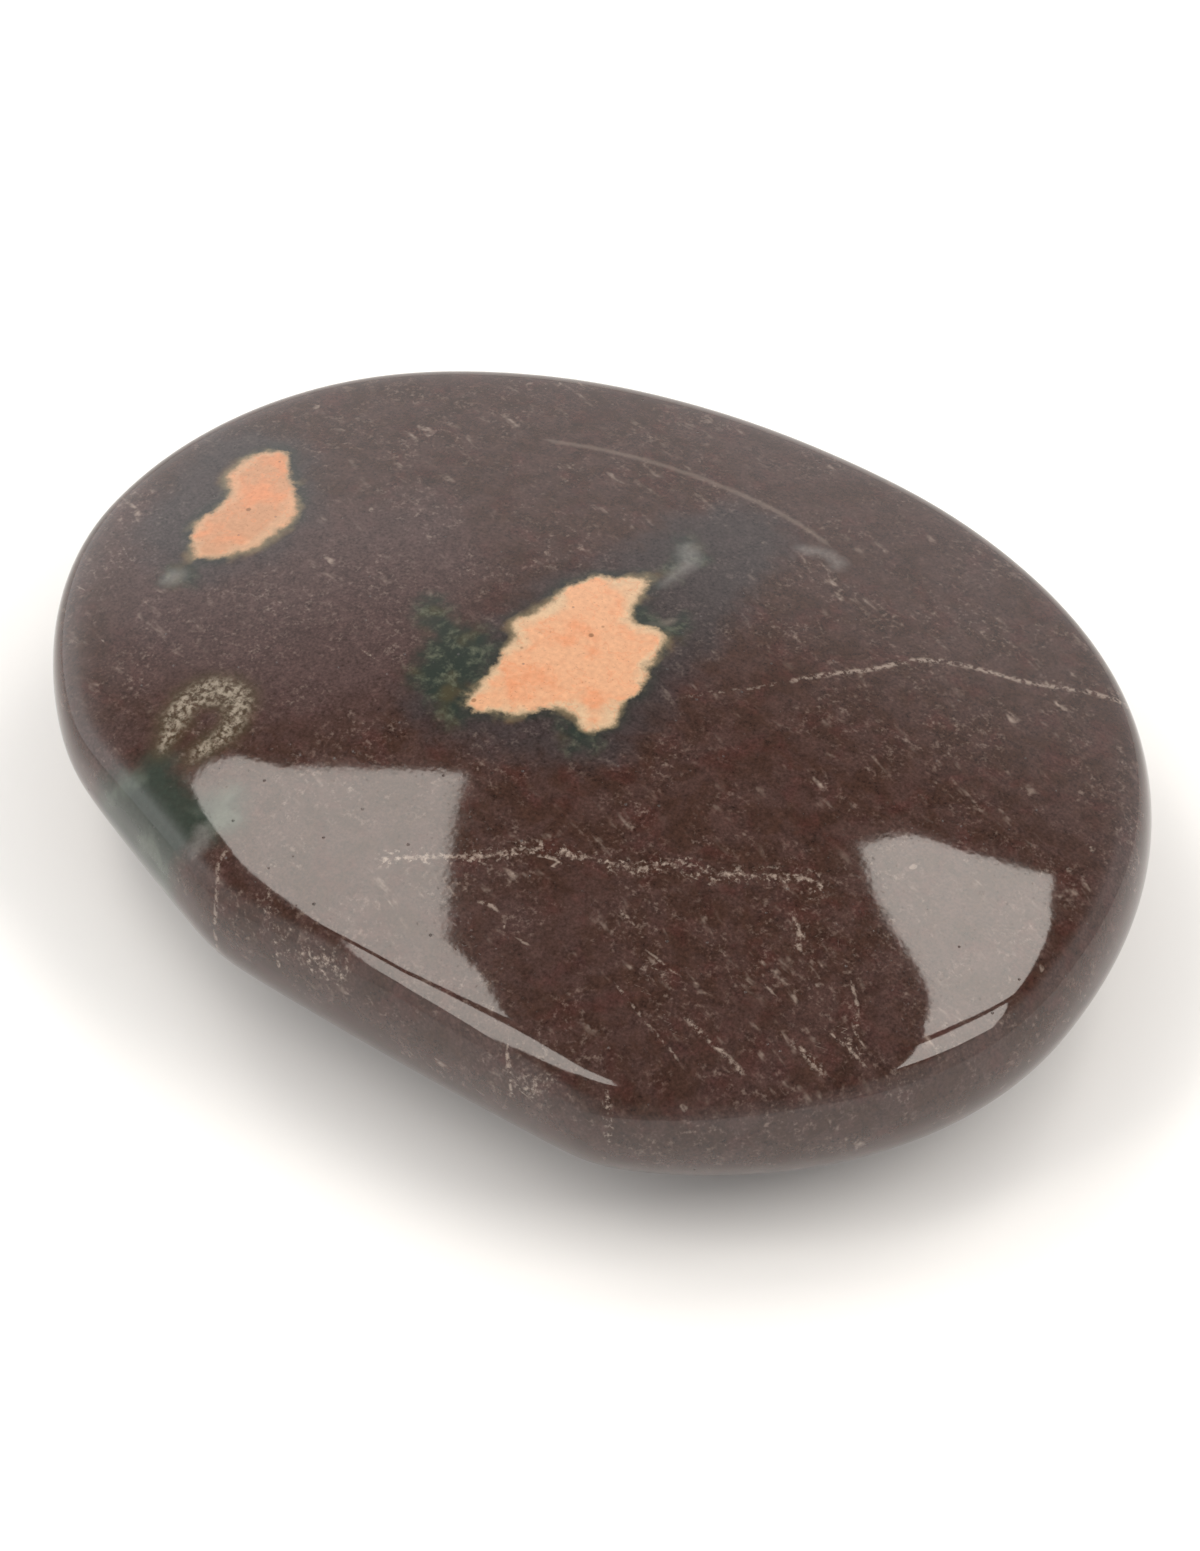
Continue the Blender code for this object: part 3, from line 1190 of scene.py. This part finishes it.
@dataclass(frozen=True)
class Viewpoint:
    """Where the photograph was taken from, and what lay in the middle of it."""

    azimuth: float = 34.08
    elevation: float = 50.0
    distance: float = 0.450
    aim: tuple[float, float, float] = (0.001182, -0.002021, 0.00897)
    lens: float = 178.6
    clip_start: float = 0.01

    @property
    def towards_camera(self) -> Vector:
        """The level direction from the stone to the camera."""
        angle = math.radians(self.azimuth)
        return Vector((math.sin(angle), -math.cos(angle), 0.0))

    @property
    def to_the_right(self) -> Vector:
        """The level direction that is right in the photograph."""
        angle = math.radians(self.azimuth)
        return Vector((math.cos(angle), math.sin(angle), 0.0))

    def place_camera(self) -> None:
        """Make the camera."""
        lift = math.radians(self.elevation)
        back = self.towards_camera * math.cos(lift) + Vector((0.0, 0.0, math.sin(lift)))
        lens = bpy.data.cameras.new("camera")
        lens.lens = self.lens
        lens.clip_start = self.clip_start
        camera = bpy.data.objects.new("camera", lens)
        camera.location = Vector(self.aim) + back * self.distance
        camera.rotation_euler = (-back).to_track_quat("-Z", "Y").to_euler()
        bpy.context.scene.collection.objects.link(camera)
        bpy.context.scene.camera = camera
        log.info("camera: azimuth %.1f, elevation %.1f", self.azimuth, self.elevation)


@dataclass(frozen=True)
class Softbox:
    """A softbox above the stone, in two panels with a dark seam between them.

    Each panel's outline is seen from above: how far its corners lie to the right and towards the camera
    from the stone's middle.
    """

    name: str
    radiance: float
    panels: tuple[tuple[Point2, ...], ...]
    height: float = 0.50
    tint: Colour = (1.0, 0.945, 0.875)


LEFT_SOFTBOX = Softbox(
    "left softbox",
    5.2,
    (
        (
            (-0.284, -0.285), (-0.262, -0.317), (-0.240, -0.323), (-0.207, -0.301), (-0.150, -0.300),
            (-0.091, -0.300), (-0.101, -0.261), (-0.127, -0.171), (-0.138, -0.138), (-0.134, -0.119),
            (-0.131, -0.095), (-0.138, -0.064), (-0.145, -0.045), (-0.152, -0.018), (-0.320, -0.018),
            (-0.291, -0.087), (-0.281, -0.142), (-0.283, -0.199), (-0.291, -0.240),
        ),
        (
            (-0.336, 0.024), (-0.176, 0.024), (-0.163, 0.030), (-0.136, 0.045), (-0.102, 0.074),
            (-0.108, 0.118), (-0.170, 0.122), (-0.323, 0.212), (-0.640, 0.440), (-0.640, 0.300),
            (-0.428, 0.110),
        ),
    ),
)

RIGHT_SOFTBOX = Softbox(
    "right softbox",
    5.9,
    (
        (
            (0.124, -0.291), (0.142, -0.310), (0.166, -0.326), (0.195, -0.324), (0.240, -0.331),
            (0.265, -0.338), (0.256, -0.297), (0.268, -0.252), (0.295, -0.192), (0.338, -0.115),
            (0.350, -0.083), (0.165, -0.083), (0.146, -0.127), (0.147, -0.172), (0.147, -0.185),
            (0.143, -0.203), (0.134, -0.223), (0.126, -0.248),
        ),
        (
            (0.177, -0.040), (0.382, -0.040), (0.600, 0.130), (0.800, 0.300), (0.330, 0.300),
            (0.227, 0.076),
        ),
    ),
)


class Studio:
    """The pale floor, the soft light and the camera."""

    softboxes = (LEFT_SOFTBOX, RIGHT_SOFTBOX)
    floor_reach = 3.0
    floor_colour: Colour = (0.94, 0.94, 0.94)
    floor_roughness = 0.9
    floor_gloss = 0.1
    far_left_wall: Colour = (1.95, 1.95, 1.93)
    far_right_wall: Colour = (0.92, 0.92, 0.91)
    near_wall: Colour = (0.36, 0.345, 0.33)
    near_skirting: Colour = (0.72, 0.70, 0.67)
    side_wall: Colour = (1.05, 1.02, 0.98)
    ceiling: Colour = (0.09, 0.09, 0.09)
    left_fade: Point2 = (-0.7, 0.1)
    skirting_fade: Point2 = (0.0, 0.32)
    near_fade: Point2 = (-0.3, 0.6)
    side_fade: Point2 = (0.30, 0.85)
    side_front_fade: Point2 = (-0.1, 0.3)
    ceiling_fade: Point2 = (0.46, 0.78)
    fill_size = 1.2
    fill_height = 0.9
    fill_nearness = 0.25
    fill_radiance = 0.7

    def __init__(self, viewpoint: Viewpoint) -> None:
        """Keep the viewpoint that the lights are placed from."""
        self.viewpoint = viewpoint

    def build(self) -> None:
        """Build everything around the stone."""
        self.lay_floor()
        for softbox in self.softboxes:
            self.hang(softbox)
        self.soften_shadows()
        self.light_room()
        self.viewpoint.place_camera()

    def lay_floor(self) -> None:
        """Lay a plain pale floor under the stone."""
        reach = self.floor_reach
        signs = ((-1, -1), (1, -1), (1, 1), (-1, 1))
        corners = [(x * reach, y * reach, 0.0) for x, y in signs]
        mesh = bpy.data.meshes.new("floor")
        mesh.from_pydata(corners, [], [(0, 1, 2, 3)])
        floor = bpy.data.objects.new("floor", mesh)
        material = bpy.data.materials.new("floor")
        material.use_nodes = True
        shader = material.node_tree.nodes["Principled BSDF"]
        shader.inputs["Base Color"].default_value = (*self.floor_colour, 1.0)
        shader.inputs["Roughness"].default_value = self.floor_roughness
        shader.inputs["Specular IOR Level"].default_value = self.floor_gloss
        mesh.materials.append(material)
        bpy.context.scene.collection.objects.link(floor)
        log.info("floor: %.1f m square", 2 * reach)

    def hang(self, softbox: Softbox) -> None:
        """Hang the panels of one softbox.

        Args:
            softbox: Its outlines and brightness.
        """
        right, near = self.viewpoint.to_the_right, self.viewpoint.towards_camera
        up = Vector((0.0, 0.0, softbox.height))
        material = bpy.data.materials.new(softbox.name)
        material.use_nodes = True
        bench = Bench(material.node_tree)
        sockets = {"Color": softbox.tint, "Strength": softbox.radiance}
        glow = bench.node("ShaderNodeEmission", {}, sockets)
        output = material.node_tree.nodes["Material Output"]
        bench.feed(output.inputs["Surface"], glow.outputs["Emission"])
        for number, outline in enumerate(softbox.panels, 1):
            corners = [right * across + near * along + up for across, along in outline]
            mesh = bpy.data.meshes.new(f"{softbox.name} {number}")
            mesh.from_pydata(corners, [], [tuple(range(len(corners)))])
            mesh.materials.append(material)
            panel = bpy.data.objects.new(mesh.name, mesh)
            panel.visible_camera = False
            bpy.context.scene.collection.objects.link(panel)
        log.info("%s: %d panels", softbox.name, len(softbox.panels))

    def soften_shadows(self) -> None:
        """Add a broad light that brightens floor and shadows but isn't mirrored in the polish."""
        light = bpy.data.lights.new("fill", "AREA")
        light.size = self.fill_size
        light.energy = self.fill_radiance * math.pi * self.fill_size**2
        lamp = bpy.data.objects.new("fill", light)
        nearer = self.viewpoint.towards_camera * self.fill_nearness
        lamp.location = nearer + Vector((0.0, 0.0, self.fill_height))
        lamp.visible_camera = False
        lamp.visible_glossy = False
        bpy.context.scene.collection.objects.link(lamp)
        log.info("fill light: %.1f m square", self.fill_size)

    def light_room(self) -> None:
        """Make the room bright low down behind the stone, and dim overhead and behind the camera."""
        world = bpy.data.worlds.new("room")
        world.use_nodes = True
        bench = Bench(world.node_tree)
        direction = bench.node("ShaderNodeTexCoord", {}, {}).outputs["Generated"]
        x, y, height = bench.parts(direction)
        near, right = self.viewpoint.towards_camera, self.viewpoint.to_the_right
        facing = x * near.x + y * near.y
        sideways = x * right.x + y * right.y
        colour = bench.mix(sideways.ramp(*self.left_fade), self.far_left_wall, self.far_right_wall)
        near_side = bench.mix(height.ramp(*self.skirting_fade), self.near_skirting, self.near_wall)
        colour = bench.mix(facing.ramp(*self.near_fade), colour, near_side)
        beside = abs(sideways).ramp(*self.side_fade) * facing.ramp(*self.side_front_fade)
        colour = bench.mix(beside, colour, self.side_wall)
        colour = bench.mix(height.ramp(*self.ceiling_fade), colour, self.ceiling)
        bench.feed(world.node_tree.nodes["Background"].inputs["Color"], colour)
        bpy.context.scene.world = world
        bpy.context.scene.view_settings.view_transform = "Standard"
        log.info("room: bright walls and dim ceiling")


def main() -> None:
    """Build the stone and the studio."""
    under_spots = tuple(
        replace(spot, lowest=UNDER_LOWEST, highest=UNDER_SPOTS_HIGHEST) for spot in UNDER_SPOTS
    )
    under_veins = tuple(
        replace(vein, lowest=UNDER_LOWEST, highest=UNDER_VEINS_HIGHEST) for vein in UNDER_VEINS
    )
    markings = Markings(TOP_SPOTS + under_spots, TOP_VEINS + under_veins)
    PalmStone(Form(), HandPolish(), markings, PolishedStone()).build()
    Studio(Viewpoint()).build()


if __name__ == "__main__":
    main()
